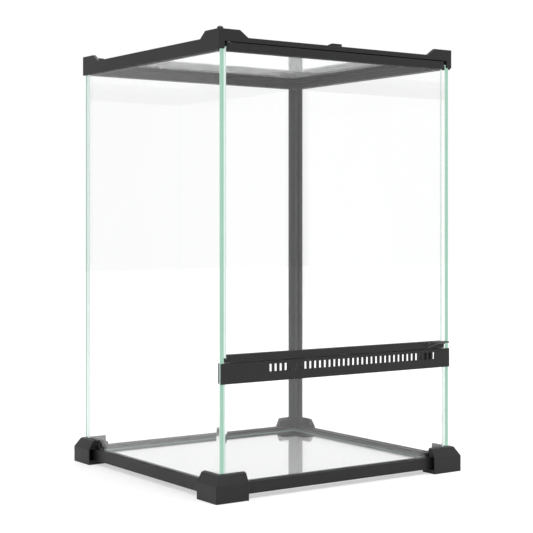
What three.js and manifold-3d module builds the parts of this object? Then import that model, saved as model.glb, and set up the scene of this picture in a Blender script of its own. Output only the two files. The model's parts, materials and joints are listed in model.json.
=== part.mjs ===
// Front-opening glass terrarium, 30 x 30 x 45 cm, as an assembly of its separate pieces.
// Millimetres, +Z up. Origin: centre of the footprint on the surface it stands on.
// The door and the vent strip are at the front, towards -Y, and the hinge is on the left, at -X.

import * as THREE from "three";
import { mergeVertices } from "three/addons/utils/BufferGeometryUtils.js";
import Module from "manifold-3d";

const wasm = await Module();
wasm.setup();

// Glass box
const glassWidth = 300;
const glassDepth = 300;
const paneThickness = 5;
const seatGap = 0.3;
const cutOver = 4;

// Bottom rails
const frameWall = 2.5;
const bottomRailLow = 5;
const bottomRailHigh = 17.4;
const bottomRailWidth = 13.7;
const bottomFloor = 3;
const baseLedgeWidth = 6.8;

// Corner feet
const footReach = 7.5;
const footArm = 38.5;
const footWidth = 21.2;
const footWaist = 17.5;
const footShoulder = 27.3;
const footShoulderInset = 5.6;
const footPeak = 28.5;
const footInnerWaist = 11.8;
const footInnerSlope = 7.6;
const footInnerHigh = 22;
const footWall = 1.6;
const footSocket = 15;

// Top frame
const topRailHigh = 465.3;
const topRailHeight = 14.3;
const topPaneCover = 5;
const topRailWidth = 12.5;
const frontRailHeight = 5;
const legWidth = 6.9;
const legRise = 1.5;
const lidLedgeWidth = 4;
const lidLedgeThickness = 2.5;
const stopLipThickness = 2.2;
const stopLipDrop = 8;
const cornerRise = 7.3;
const cornerWall = 3.5;
const cornerFrontFlat = 25;
const cornerFrontArm = 35;
const cornerSideFlat = 27;
const cornerSideArm = 37;

// Lid
const lidThickness = 3.7;
const lidRimWidth = 12.7;
const lidTopLayer = 1.9;
const screenOverlap = 4.7;
const screenThickness = 0.5;
const screenBar = 1.6;
const screenGaps = 14;
const tabLeft = 14;
const tabRight = 9;
const tabRise = 4.6;
const tabThickness = 3;
const tabRamp = 10.5;

// Turn catches of the lid
const catchInset = 9;
const catchSetback = 12.3;
const tongueWidth = 6;
const tongueReach = 11;
const tongueThickness = 2;
const catchShaft = 4;
const catchSink = 4.5;
const knobRise = 11.2;
const knobDiameter = 6.4;
const knobChamfer = 1.2;
const shaftSides = 16;
const tongueArcSteps = 8;

// Vent strip
const stripLow = 117.3;
const stripHeight = 20.7;
const stripInset = 0.5;
const stripFront = 2.3;
const stripWallGap = 0.3;
const stripWeb = 2.2;
const stripSill = 1.6;
const stripLipDrop = 3.8;
const stripBack = 2.4;
const slotWidth = 3.5;
const slotPitch = 6.2;
const slotHeight = 7.7;
const slotTopMargin = 3.3;
const slotLeftMargin = 57.5;
const slotRightMargin = 18.7;
const stripPaneCover = 4;

// Door
const doorHingeGap = 1.5;
const doorFreeGap = 3.5;
const doorRailDepth = 10;
const doorTopRailHeight = 8.8;
const doorBottomRailHeight = 9.3;
const doorSolid = 4;
const doorTopGap = 1;
const doorSillGap = 0.8;
const doorPaneInset = 0.4;
const doorArcSteps = 12;

// Pull at the free end of the door's bottom rail
const pullReach = 7.5;
const pullRunOn = 1.2;
const pullStart = 28;
const pullFull = 12;
const pullLip = 1.9;
const pullHeel = 0.9;
const pullFillet = 2;
const pullFilletShare = 0.8;
const pullSteps = 14;
const pullArcSteps = 5;

// Hinge pins
const pinDiameter = 4;
const pinIntoFrame = 3.6;
const pinIntoRail = 3.2;
const pinBossLength = 12;
const pinBossDrop = 6;
const pinSides = 24;

// Magnetic catch
const magnetLength = 17;
const magnetHeight = 9.6;
const magnetDepth = 6;
const magnetSetback = 22.5;
const plateThickness = 1;

// Cable inlet in the rear rail
const inletPlace = 33;
const inletWidth = 38;
const inletSlope = 6;
const inletDepth = 7.1;
const gateThickness = 2.4;
const gateTravel = 42;
const gateOverlap = 2;
const gateNub = 6;
const gateNubRise = 1.6;

// Silicone
const seamGap = 1;
const seamLeg = 5;
const floorSeamHeight = 3;
const blackSeamLeg = 13;
const blackSeamThickness = 2.2;

// Derived planes of the glass box and its frames
const glassX = glassWidth / 2;
const glassY = glassDepth / 2;
const innerX = glassX - paneThickness;
const innerY = glassY - paneThickness;
const frameX = glassX + frameWall;
const frameY = glassY + frameWall;
const footX = frameX + footReach;
const footY = frameY + footReach;
const paneFoot = bottomRailLow + bottomFloor + seatGap;
const hollowX = frameX - bottomRailWidth;
const hollowY = frameY - bottomRailWidth;
const basePaneHigh = paneFoot + paneThickness;
const topRailLow = topRailHigh - topRailHeight;
const paneTop = topRailLow + topPaneCover;
const openX = frameX - topRailWidth;
const openY = frameY - topRailWidth;
const frontRailLow = topRailHigh - frontRailHeight;
const lidSeat = topRailHigh - lidThickness - seatGap;
const cornerHigh = topRailHigh + cornerRise;
const knobHigh = topRailHigh + knobRise;
const inletLow = topRailHigh - inletDepth;
const stripHigh = stripLow + stripHeight;
const stripX = glassX - stripInset;
const lowerPaneTop = stripLow + stripPaneCover;
const doorLeft = -innerX + doorHingeGap;
const doorRight = innerX - doorFreeGap;
const doorFrontY = -frameY;
const doorBackY = doorFrontY + doorRailDepth;
const doorTop = frontRailLow - doorTopGap;
const doorBottom = stripHigh + doorSillGap;
const hingeRadius = doorRailDepth / 2;
const hingeX = doorLeft + hingeRadius;
const hingeY = doorFrontY + hingeRadius;
const magnetX = doorRight - magnetSetback;

// Colours and finish
const plastic = { color: 0x3b3b3c, roughness: 0.55, metalness: 0 };
const glass = { color: 0xd8efe6, roughness: 0.05, metalness: 0, transparent: true, opacity: 0.3 };
const clearSilicone = { color: 0xe4ece8, roughness: 0.4, metalness: 0, transparent: true, opacity: 0.6 };
const blackSilicone = { color: 0x222422, roughness: 0.45, metalness: 0 };
const steel = { color: 0xb9bcbe, roughness: 0.35, metalness: 1 };
const magnetGrey = { color: 0x4a4b4d, roughness: 0.5, metalness: 0.6 };
const screenGrey = { color: 0x9a9d9e, roughness: 0.4, metalness: 0.8 };

const terrarium = new THREE.Group();

// Turns a closed three.js geometry into a solid that can be joined and cut.
function solid(geometry) {
  const bare = geometry.index ? geometry.toNonIndexed() : geometry.clone();
  bare.deleteAttribute("normal");
  bare.deleteAttribute("uv");
  const merged = mergeVertices(bare);
  return new wasm.Manifold(
    new wasm.Mesh({
      numProp: 3,
      vertProperties: new Float32Array(merged.attributes.position.array),
      triVerts: new Uint32Array(merged.index.array),
    }),
  );
}

// Turns a solid back into a three.js geometry.
function geometryOf(shape) {
  const mesh = shape.getMesh();
  const geometry = new THREE.BufferGeometry();
  const places = new Float32Array((mesh.vertProperties.length / mesh.numProp) * 3);
  for (let i = 0; i < places.length / 3; i += 1) {
    for (let k = 0; k < 3; k += 1) {
      places[3 * i + k] = mesh.vertProperties[mesh.numProp * i + k];
    }
  }
  geometry.setAttribute("position", new THREE.BufferAttribute(places, 3));
  geometry.setIndex(new THREE.BufferAttribute(new Uint32Array(mesh.triVerts), 1));
  geometry.computeVertexNormals();
  return geometry;
}

function addPiece(name, shape, finish) {
  const mesh = new THREE.Mesh(geometryOf(shape), new THREE.MeshStandardMaterial(finish));
  mesh.name = name;
  terrarium.add(mesh);
}

// A block between two corners.
function block(x0, x1, y0, y1, z0, z1) {
  const geometry = new THREE.BoxGeometry(x1 - x0, y1 - y0, z1 - z0);
  geometry.translate((x0 + x1) / 2, (y0 + y1) / 2, (z0 + z1) / 2);
  return solid(geometry);
}

// A block centred on the part's axis.
function centredBlock(halfX, halfY, z0, z1) {
  return block(-halfX, halfX, -halfY, halfY, z0, z1);
}

// A rectangular ring between an outer and an inner half size.
function ring(outerX, outerY, hollowX, hollowY, z0, z1) {
  const outer = centredBlock(outerX, outerY, z0, z1);
  return outer.subtract(centredBlock(hollowX, hollowY, z0 - cutOver, z1 + cutOver));
}

// A prism along X, Y or Z from an outline. The outline's two coordinates are (Y, Z) for X,
// (X, Z) for Y and (X, Y) for Z.
function prism(axis, outline, from, to) {
  const shape = new THREE.Shape(outline.map(([a, b]) => new THREE.Vector2(a, b)));
  const geometry = new THREE.ExtrudeGeometry(shape, { depth: to - from, bevelEnabled: false });
  geometry.translate(0, 0, from);
  const turn = new THREE.Matrix4();
  if (axis === "X") {
    turn.set(0, 0, 1, 0, 1, 0, 0, 0, 0, 1, 0, 0, 0, 0, 0, 1);
  } else if (axis === "Y") {
    turn.set(1, 0, 0, 0, 0, 0, -1, 0, 0, 1, 0, 0, 0, 0, 0, 1);
    geometry.translate(0, 0, -from - to);
  }
  geometry.applyMatrix4(turn);
  return solid(geometry);
}

function upright(x, y, diameter, z0, z1, sides) {
  const geometry = new THREE.CylinderGeometry(diameter / 2, diameter / 2, z1 - z0, sides);
  geometry.rotateX(Math.PI / 2);
  geometry.translate(x, y, (z0 + z1) / 2);
  return solid(geometry);
}

// The same solid mirrored to the other side of a vertical plane through the axis.
function mirrored(shape, alongX, alongY) {
  let result = shape;
  if (alongX) {
    result = result.mirror([1, 0, 0]);
  }
  if (alongY) {
    result = result.mirror([0, 1, 0]);
  }
  return result;
}

const corners = [
  { label: "front_left", flipX: false, flipY: false },
  { label: "front_right", flipX: true, flipY: false },
  { label: "rear_left", flipX: false, flipY: true },
  { label: "rear_right", flipX: true, flipY: true },
];

function joined(shapes) {
  return shapes.reduce((whole, shape) => whole.add(shape));
}

// Section of a bottom rail: a channel for the panes between an outer and an inner wall. The first
// coordinate runs across the rail and the second one is the height.
function bottomRailSection(glassHalf) {
  const outer = -glassHalf - frameWall;
  const inner = outer + bottomRailWidth;
  const slotOuter = -glassHalf - seatGap;
  const slotInner = -glassHalf + paneThickness + seatGap;
  const floorTop = bottomRailLow + bottomFloor;
  return [
    [outer, bottomRailLow],
    [inner, bottomRailLow],
    [inner, bottomRailHigh],
    [slotInner, bottomRailHigh],
    [slotInner, floorTop],
    [slotOuter, floorTop],
    [slotOuter, bottomRailHigh],
    [outer, bottomRailHigh],
  ];
}

// Bottom rails: each plugs into two feet and carries the base pane on a ledge.
function makeBottomRails() {
  const floorTop = bottomRailLow + bottomFloor;
  const railEndX = footX - footArm + footSocket - seatGap;
  const railEndY = footY - footArm + footSocket - seatGap;
  const frontLedgeEnd = hollowX - seatGap;
  const sideLedgeEnd = hollowY - baseLedgeWidth - seatGap;
  const frontLedge = block(
    -frontLedgeEnd, frontLedgeEnd, -hollowY, -hollowY + baseLedgeWidth, bottomRailLow, floorTop,
  );
  const sideLedge = block(
    -hollowX, -hollowX + baseLedgeWidth, -sideLedgeEnd, sideLedgeEnd, bottomRailLow, floorTop,
  );
  const front = prism("X", bottomRailSection(glassY), -railEndX, railEndX).add(frontLedge);
  const side = prism("Y", bottomRailSection(glassX), -railEndY, railEndY).add(sideLedge);
  addPiece("bottom_rail_front", front, plastic);
  addPiece("bottom_rail_rear", mirrored(front, false, true), plastic);
  addPiece("bottom_rail_left", side, plastic);
  addPiece("bottom_rail_right", mirrored(side, true, false), plastic);
}

// One foot: an L with bevelled outer faces and sloped inner faces, slots for the panes, and
// hollow arm ends that the bottom rails plug into.
function footShape() {
  const endX = -footX + footArm;
  const endY = -footY + footArm;
  const outerProfile = (outer, end) => [
    [outer, 0],
    [end, 0],
    [end, footPeak],
    [outer + footReach + frameWall, footPeak],
    [outer + footShoulderInset, footShoulder],
    [outer, footWaist],
  ];
  const innerProfile = (outer, end) => [
    [outer + footWidth, -cutOver],
    [end + cutOver, -cutOver],
    [end + cutOver, footPeak + cutOver],
    [outer + footWidth - footInnerSlope, footPeak + cutOver],
    [outer + footWidth - footInnerSlope, footPeak],
    [outer + footWidth, footInnerWaist],
  ];
  const envelope = prism("Y", outerProfile(-footX, endX), -footY, endY).intersect(
    prism("X", outerProfile(-footY, endY), -footX, endX),
  );
  const hollow = prism("Y", innerProfile(-footX, endX), -footY, endY + cutOver).intersect(
    prism("X", innerProfile(-footY, endY), -footX, endX + cutOver),
  );
  const slotLow = bottomRailLow + bottomFloor;
  const slotHigh = footPeak + cutOver;
  const nearX = -glassX - seatGap;
  const nearY = -glassY - seatGap;
  const farX = -innerX + seatGap;
  const farY = -innerY + seatGap;
  const sideSlot = block(nearX, farX, nearY, endY + cutOver, slotLow, slotHigh);
  const frontSlot = block(nearX, endX + cutOver, nearY, farY, slotLow, slotHigh);
  const innerTop = block(nearX, endX + cutOver, nearY, endY + cutOver, footInnerHigh, slotHigh);
  const treadTop = bottomRailLow - seatGap;
  const socketTop = bottomRailHigh + seatGap;
  const sideSocket = block(
    -footX + footWall, endX + cutOver, endY - footSocket, endY + cutOver, treadTop, socketTop,
  );
  const frontSocket = block(
    endX - footSocket, endX + cutOver, -footY + footWall, endY + cutOver, treadTop, socketTop,
  );
  return envelope
    .subtract(hollow)
    .subtract(sideSlot)
    .subtract(frontSlot)
    .subtract(innerTop)
    .subtract(sideSocket)
    .subtract(frontSocket);
}

function makeFeet() {
  const foot = footShape();
  for (const { label, flipX, flipY } of corners) {
    addPiece(`foot_${label}`, mirrored(foot, flipX, flipY), plastic);
  }
}

function makePanes() {
  const side = block(-glassX, -innerX, -glassY, glassY, paneFoot, paneTop);
  addPiece("left_pane", side, glass);
  addPiece("right_pane", mirrored(side, true, false), glass);
  const endX = innerX - seamGap;
  addPiece("rear_pane", block(-endX, endX, innerY, glassY, paneFoot, paneTop), glass);
  addPiece("lower_front_pane", block(-endX, endX, -glassY, -innerY, paneFoot, lowerPaneTop), glass);
  const base = centredBlock(hollowX - seatGap, hollowY - seatGap, paneFoot, basePaneHigh);
  addPiece("base_pane", base, glass);
}

// Outline of the narrow tongue of silicone between the end of a pane and the side pane.
function seamTongue(wallX, wallY) {
  const tongueX = wallX + seamGap - 2 * seatGap;
  return [
    [wallX, -glassY],
    [tongueX, -glassY],
    [tongueX, wallY],
  ];
}

// A silicone joint in an upright corner: a tongue beside the pane's end and a fillet inside.
function cornerSeam(leg, high) {
  const wallX = -innerX + seatGap;
  const wallY = -innerY + seatGap;
  const low = footInnerHigh + seatGap;
  const outline = [
    ...seamTongue(wallX, wallY),
    [wallX + leg, wallY],
    [wallX, wallY + leg],
  ];
  return prism("Z", outline, low, high);
}

// The wide black joint: two flat legs with feathered edges that meet in the corner.
function wideCornerSeam(leg, thickness, high) {
  const wallX = -innerX + seatGap;
  const wallY = -innerY + seatGap;
  const low = footInnerHigh + seatGap;
  const outline = [
    ...seamTongue(wallX, wallY),
    [wallX + leg, wallY],
    [wallX + leg - thickness, wallY + thickness],
    [wallX + 2 * thickness, wallY + thickness],
    [wallX + thickness, wallY + 2 * thickness],
    [wallX + thickness, wallY + leg - thickness],
    [wallX, wallY + leg],
  ];
  return prism("Z", outline, low, high);
}

function makeSeams() {
  const rearHigh = topRailLow - seatGap;
  const frontHigh = lowerPaneTop - stripLipDrop - seamGap;
  addPiece("rear_left_seam", mirrored(cornerSeam(seamLeg, rearHigh), false, true), clearSilicone);
  const wide = wideCornerSeam(blackSeamLeg, blackSeamThickness, rearHigh);
  addPiece("rear_right_seam", mirrored(wide, true, true), blackSilicone);
  const front = cornerSeam(seamLeg, frontHigh);
  addPiece("front_left_seam", front, clearSilicone);
  addPiece("front_right_seam", mirrored(front, true, false), clearSilicone);
  addPiece("floor_seam", floorSeamShape(), clearSilicone);
}

// A fillet of silicone all round the base pane, against the rails and the feet.
function floorSeamShape() {
  const seamX = hollowX - seatGap;
  const seamY = hollowY - seatGap;
  const low = basePaneHigh + seatGap;
  const high = low + floorSeamHeight;
  const wedge = (half) => [
    [-half + seamLeg, low - seatGap],
    [half - seamLeg, low - seatGap],
    [half - seatGap, high],
    [half - seatGap, high + seatGap],
    [-half + seatGap, high + seatGap],
    [-half + seatGap, high],
  ];
  const hollow = prism("Y", wedge(seamX), -seamY, seamY).intersect(
    prism("X", wedge(seamY), -seamX, seamX),
  );
  return centredBlock(seamX, seamY, low, high).subtract(hollow);
}

// Vent strip: a slotted front wall over a channel that grips the lower front pane, a sill that
// the door closes on, and a boss for the lower hinge pin.
function makeVentStrip() {
  const front = -glassY - stripFront;
  const wallBack = -glassY - stripWallGap;
  const back = -innerY + seatGap + stripBack;
  const insideX = innerX - seatGap;
  const webLow = lowerPaneTop + seatGap;
  const sillLow = stripHigh - stripSill;
  const wall = block(-stripX, stripX, front, wallBack, stripLow, stripHigh);
  const web = block(-insideX, insideX, wallBack, back, webLow, webLow + stripWeb);
  const lipLow = lowerPaneTop - stripLipDrop;
  const lip = block(-insideX, insideX, -innerY + seatGap, back, lipLow, webLow);
  const sill = block(-insideX, insideX, wallBack, back, sillLow, stripHigh);
  const end = block(-insideX, -insideX + stripBack, wallBack, back, webLow, stripHigh);
  const bossEnd = hingeX + pinBossLength / 2;
  const boss = block(-insideX, bossEnd, wallBack, back, sillLow - pinBossDrop, stripHigh);
  let strip = joined([wall, web, lip, sill, end, mirrored(end, true, false), boss]);
  const slotHigh = stripHigh - slotTopMargin;
  const slotLow = slotHigh - slotHeight;
  const firstSlot = -stripX + slotLeftMargin;
  const slotRow = stripX - slotRightMargin - firstSlot;
  const slotCount = Math.floor((slotRow - slotWidth) / slotPitch) + 1;
  const slots = [];
  for (let i = 0; i < slotCount; i += 1) {
    const x = firstSlot + i * slotPitch;
    slots.push(block(x, x + slotWidth, front - cutOver, wallBack + seatGap, slotLow, slotHigh));
  }
  strip = strip.subtract(joined(slots));
  const bore = pinDiameter + 2 * seatGap;
  const boreLow = stripHigh - pinIntoFrame - seatGap;
  strip = strip.subtract(upright(hingeX, hingeY, bore, boreLow, stripHigh + cutOver, pinSides));
  addPiece("vent_strip", strip, plastic);
  const magnet = block(
    magnetX - magnetLength / 2, magnetX + magnetLength / 2,
    wallBack + seatGap, wallBack + seatGap + magnetDepth,
    sillLow - seatGap - magnetHeight, sillLow - seatGap,
  );
  addPiece("catch_magnet", magnet, magnetGrey);
}

// The raised L wall on each corner of the top frame, with a sloped end on both arms.
function cornerWallShape() {
  const arm = (start, flat, reach) => [
    [start, topRailHigh - cutOver],
    [start + reach, topRailHigh - cutOver],
    [start + reach, topRailHigh],
    [start + flat, cornerHigh],
    [start, cornerHigh],
  ];
  const frontArm = arm(-frameX, cornerFrontFlat, cornerFrontArm);
  const sideArm = arm(-frameY, cornerSideFlat, cornerSideArm);
  const alongX = prism("Y", frontArm, -frameY, -frameY + cornerWall);
  const alongY = prism("X", sideArm, -frameX, -frameX + cornerWall);
  return alongX.add(alongY);
}

function catchPlace() {
  return { x: -frameX + catchInset, y: -frameY + catchSetback };
}

// The notch of the cable inlet, with sloped ends.
function inletCut() {
  const half = inletWidth / 2;
  const outline = [
    [inletPlace - half + inletSlope, inletLow],
    [inletPlace + half - inletSlope, inletLow],
    [inletPlace + half, topRailHigh + cutOver],
    [inletPlace - half, topRailHigh + cutOver],
  ];
  return prism("Y", outline, openY - lidLedgeWidth - cutOver, frameY + cutOver);
}

function gateY() {
  return frameY - (topRailWidth - lidLedgeWidth) / 2;
}

// The groove that the inlet's gate slides in. It runs on to the right by the gate's travel.
function gateGroove() {
  const half = inletWidth / 2 + gateOverlap + seatGap;
  const halfGroove = gateThickness / 2 + seatGap;
  return block(
    inletPlace - half, inletPlace + half + gateTravel,
    gateY() - halfGroove, gateY() + halfGroove, inletLow - seatGap, topRailHigh + cutOver,
  );
}

function makeTopFrame() {
  const rail = ring(frameX, frameY, openX, openY, topRailLow, topRailHigh);
  const ledgeTop = lidSeat;
  const ledge = ring(
    openX, openY, openX - lidLedgeWidth, openY - lidLedgeWidth,
    ledgeTop - lidLedgeThickness, ledgeTop,
  );
  let frame = rail.add(ledge);
  for (const { flipX, flipY } of corners) {
    frame = frame.add(mirrored(cornerWallShape(), flipX, flipY));
  }
  const slotTop = paneTop + seatGap;
  const slotInner = innerX - seatGap;
  const slotOuter = glassX + seatGap;
  const slotFoot = topRailLow - cutOver;
  const slotEnd = glassY + seatGap;
  const sideSlot = block(-slotOuter, -slotInner, -slotEnd, slotEnd, slotFoot, slotTop);
  const rearSlot = block(-slotOuter, slotOuter, innerY - seatGap, slotEnd, slotFoot, slotTop);
  frame = frame.subtract(sideSlot).subtract(mirrored(sideSlot, true, false)).subtract(rearSlot);
  const legX = frameX - legWidth;
  const doorRoom = block(
    -legX, legX, -frameY - cutOver, doorBackY + seatGap, slotFoot, frontRailLow,
  );
  const stopRoom = block(
    -openX, openX, doorBackY, -openY + cutOver, slotFoot, frontRailLow - stopLipDrop,
  );
  const legCut = block(
    -frameX - cutOver, -legX, -frameY - cutOver, -glassY - seatGap,
    slotFoot, topRailLow + legRise,
  );
  frame = frame
    .subtract(doorRoom)
    .subtract(stopRoom)
    .subtract(legCut)
    .subtract(mirrored(legCut, true, false));
  const lip = block(
    -slotInner, slotInner, doorBackY + seatGap, doorBackY + seatGap + stopLipThickness,
    frontRailLow - stopLipDrop, frontRailLow + seatGap,
  );
  frame = frame.add(lip);
  const pinBore = pinDiameter + 2 * seatGap;
  frame = frame.subtract(
    upright(
      hingeX, hingeY, pinBore, frontRailLow - cutOver, frontRailLow + pinIntoFrame + seatGap,
      pinSides,
    ),
  );
  const { x, y } = catchPlace();
  const shaftBore = catchShaft + 2 * seatGap;
  const holeLow = topRailHigh - catchSink - seatGap;
  const hole = upright(x, y, shaftBore, holeLow, topRailHigh + cutOver, shaftSides);
  frame = frame.subtract(hole).subtract(mirrored(hole, true, true));
  frame = frame.subtract(inletCut()).subtract(gateGroove());
  addPiece("top_frame", frame, plastic);
}

function makeCableGate() {
  const half = inletWidth / 2 + gateOverlap;
  const front = gateY() - gateThickness / 2;
  const back = gateY() + gateThickness / 2;
  const plate = block(inletPlace - half, inletPlace + half, front, back, inletLow, topRailHigh);
  const nub = block(
    inletPlace - gateNub / 2, inletPlace + gateNub / 2, front, back,
    topRailHigh - gateNubRise, topRailHigh + gateNubRise,
  );
  addPiece("cable_gate", plate.add(nub), plastic);
}

function makeLid() {
  const rimX = openX - seatGap;
  const rimY = openY - seatGap;
  const holeX = rimX - lidRimWidth;
  const holeY = rimY - lidRimWidth;
  const low = lidSeat + seatGap;
  const layer = topRailHigh - lidTopLayer;
  const recessX = holeX + screenOverlap + seatGap;
  const recessY = holeY + screenOverlap + seatGap;
  const top = ring(rimX, rimY, holeX, holeY, layer, topRailHigh);
  const skirt = ring(rimX, rimY, recessX, recessY, low, layer);
  const tabY = -rimY + seatGap;
  const tab = prism(
    "Y",
    [
      [-tabLeft, layer],
      [tabRight, layer],
      [tabRight, topRailHigh + tabRise],
      [-tabLeft + tabRamp, topRailHigh + tabRise],
      [-tabLeft, topRailHigh],
    ],
    tabY,
    tabY + tabThickness,
  );
  addPiece("lid_frame", joined([top, skirt, tab]), plastic);

  const screenX = holeX + screenOverlap;
  const screenY = holeY + screenOverlap;
  const screenHigh = layer - seatGap;
  const screenLow = screenHigh - screenThickness;
  const sheet = centredBlock(screenX, screenY, screenLow, screenHigh);
  const pitchX = (2 * holeX + screenBar) / screenGaps;
  const pitchY = (2 * holeY + screenBar) / screenGaps;
  const gaps = [];
  for (let i = 0; i < screenGaps; i += 1) {
    for (let j = 0; j < screenGaps; j += 1) {
      const x = -holeX + i * pitchX;
      const y = -holeY + j * pitchY;
      const gapX = x + pitchX - screenBar;
      const gapY = y + pitchY - screenBar;
      gaps.push(block(x, gapX, y, gapY, screenLow - cutOver, screenHigh + cutOver));
    }
  }
  addPiece("lid_screen", sheet.subtract(joined(gaps)), screenGrey);
  const retainer = ring(screenX, screenY, holeX, holeY, low, screenLow - seatGap);
  addPiece("lid_retainer", retainer, plastic);
}

// A turn catch: a tongue on the rail, a shaft into the frame and a knob with a chamfered top.
function catchShape() {
  const { x, y } = catchPlace();
  const low = topRailHigh + seatGap;
  const half = tongueWidth / 2;
  const outline = [];
  for (let i = 0; i <= tongueArcSteps; i += 1) {
    const angle = Math.PI + (Math.PI * i) / tongueArcSteps;
    outline.push([x + half * Math.cos(angle), y + half * Math.sin(angle)]);
  }
  for (let i = 0; i <= tongueArcSteps; i += 1) {
    const angle = (Math.PI * i) / tongueArcSteps;
    outline.push([x + half * Math.cos(angle), y + tongueReach - half + half * Math.sin(angle)]);
  }
  const tongue = prism("Z", outline, low, low + tongueThickness);
  const middle = low + tongueThickness / 2;
  const shaft = upright(x, y, catchShaft, topRailHigh - catchSink, middle, shaftSides);
  const stem = upright(x, y, knobDiameter, middle, knobHigh - knobChamfer, pinSides);
  const crown = new THREE.CylinderGeometry(
    knobDiameter / 2 - knobChamfer, knobDiameter / 2, knobChamfer, pinSides,
  );
  crown.rotateX(Math.PI / 2);
  crown.translate(x, y, knobHigh - knobChamfer / 2);
  return joined([tongue, shaft, stem, solid(crown)]);
}

function makeLidCatches() {
  const shape = catchShape();
  addPiece("lid_catch_front", shape, plastic);
  addPiece("lid_catch_rear", mirrored(shape, true, true), plastic);
}

// Plan outline of a door rail: round about the pin at the hinge end, square at the free end.
function railOutline() {
  const outline = [];
  for (let i = 0; i <= doorArcSteps; i += 1) {
    const angle = Math.PI / 2 + (Math.PI * i) / doorArcSteps;
    outline.push([hingeX + hingeRadius * Math.cos(angle), hingeY + hingeRadius * Math.sin(angle)]);
  }
  outline.push([doorRight, doorFrontY]);
  outline.push([doorRight, doorBackY]);
  return outline;
}

// The pull: the rail's face leans out towards the free end while its lower edge rises, which
// leaves a thin lip over a finger space. A fillet joins the lip's underside to the rail.
function pullShape() {
  const lipTop = doorBottom + doorBottomRailHeight;
  const heel = doorBottom + pullHeel;
  const rise = lipTop - pullLip - heel;
  const startX = doorRight - pullStart;
  const fullX = doorRight - pullFull;
  const sections = [];
  for (let i = 0; i <= pullSteps; i += 1) {
    const share = i / pullSteps;
    const ease = 0.5 - 0.5 * Math.cos(Math.PI * share);
    sections.push({
      x: startX + (fullX - startX) * share,
      out: seatGap + (pullReach - seatGap) * ease,
      under: heel + rise * ease,
    });
  }
  sections.push({ x: doorRight + pullRunOn, out: pullReach, under: heel + rise });
  const points = [];
  for (const { x, out, under } of sections) {
    const fillet = Math.min(pullFillet, out * pullFilletShare);
    points.push([x, doorFrontY + seatGap, lipTop]);
    points.push([x, doorFrontY - out, lipTop]);
    points.push([x, doorFrontY - out, under]);
    for (let k = 0; k <= pullArcSteps; k += 1) {
      const angle = (Math.PI / 2) * (k / pullArcSteps);
      const y = doorFrontY - fillet * (1 - Math.sin(angle));
      const z = under - fillet * (1 - Math.cos(angle));
      points.push([x, y, z]);
    }
    points.push([x, doorFrontY + seatGap, under - fillet]);
  }
  const ringSize = pullArcSteps + 5;
  const faces = [];
  for (let s = 0; s < sections.length - 1; s += 1) {
    for (let k = 0; k < ringSize; k += 1) {
      const a = s * ringSize + k;
      const b = s * ringSize + ((k + 1) % ringSize);
      faces.push(a, b, b + ringSize, a, b + ringSize, a + ringSize);
    }
  }
  const last = (sections.length - 1) * ringSize;
  const cap = THREE.ShapeUtils.triangulateShape(
    points.slice(last, last + ringSize).map(([, y, z]) => new THREE.Vector2(y, z)),
    [],
  );
  const capStart = THREE.ShapeUtils.triangulateShape(
    points.slice(0, ringSize).map(([, y, z]) => new THREE.Vector2(y, z)),
    [],
  );
  for (const [a, b, c] of cap) {
    faces.push(last + a, last + b, last + c);
  }
  for (const [a, b, c] of capStart) {
    faces.push(a, c, b);
  }
  const geometry = new THREE.BufferGeometry();
  geometry.setAttribute("position", new THREE.Float32BufferAttribute(points.flat(), 3));
  geometry.setIndex(faces);
  return solid(geometry);
}

function makeDoor() {
  const outline = railOutline();
  const slotY0 = -glassY - seatGap;
  const slotY1 = -innerY + seatGap;
  const bore = pinDiameter + 2 * seatGap;
  const topRailBottom = doorTop - doorTopRailHeight;
  const bottomRailTop = doorBottom + doorBottomRailHeight;
  const paneLow = doorBottom + doorSolid + seatGap;
  const paneHigh = doorTop - doorSolid - seatGap;
  const slotX0 = doorLeft - cutOver;
  const slotX1 = doorRight + cutOver;
  const topSlot = block(
    slotX0, slotX1, slotY0, slotY1, topRailBottom - cutOver, paneHigh + seatGap,
  );
  const bottomSlot = block(
    slotX0, slotX1, slotY0, slotY1, paneLow - seatGap, bottomRailTop + cutOver,
  );
  const topBoreLow = doorTop - pinIntoRail - seatGap;
  const topBore = upright(hingeX, hingeY, bore, topBoreLow, doorTop + cutOver, pinSides);
  const bottomBoreHigh = doorBottom + pinIntoRail + seatGap;
  const bottomBore = upright(
    hingeX, hingeY, bore, doorBottom - cutOver, bottomBoreHigh, pinSides,
  );
  const topRail = prism("Z", outline, topRailBottom, doorTop).subtract(topSlot).subtract(topBore);
  addPiece("door_top_rail", topRail, plastic);

  const plateRoom = block(
    magnetX - magnetLength / 2 - seatGap, magnetX + magnetLength / 2 + seatGap,
    hingeY - magnetDepth / 2 - seatGap, hingeY + magnetDepth / 2 + seatGap,
    doorBottom - cutOver, doorBottom + plateThickness + seatGap,
  );
  const bottomRail = prism("Z", outline, doorBottom, bottomRailTop)
    .add(pullShape())
    .subtract(bottomSlot)
    .subtract(bottomBore)
    .subtract(plateRoom);
  addPiece("door_bottom_rail", bottomRail, plastic);

  const plate = block(
    magnetX - magnetLength / 2, magnetX + magnetLength / 2,
    hingeY - magnetDepth / 2, hingeY + magnetDepth / 2, doorBottom, doorBottom + plateThickness,
  );
  addPiece("catch_plate", plate, steel);

  const paneX0 = doorLeft + doorPaneInset;
  const paneX1 = doorRight - doorPaneInset;
  addPiece("door_pane", block(paneX0, paneX1, -glassY, -innerY, paneLow, paneHigh), glass);
}

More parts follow.
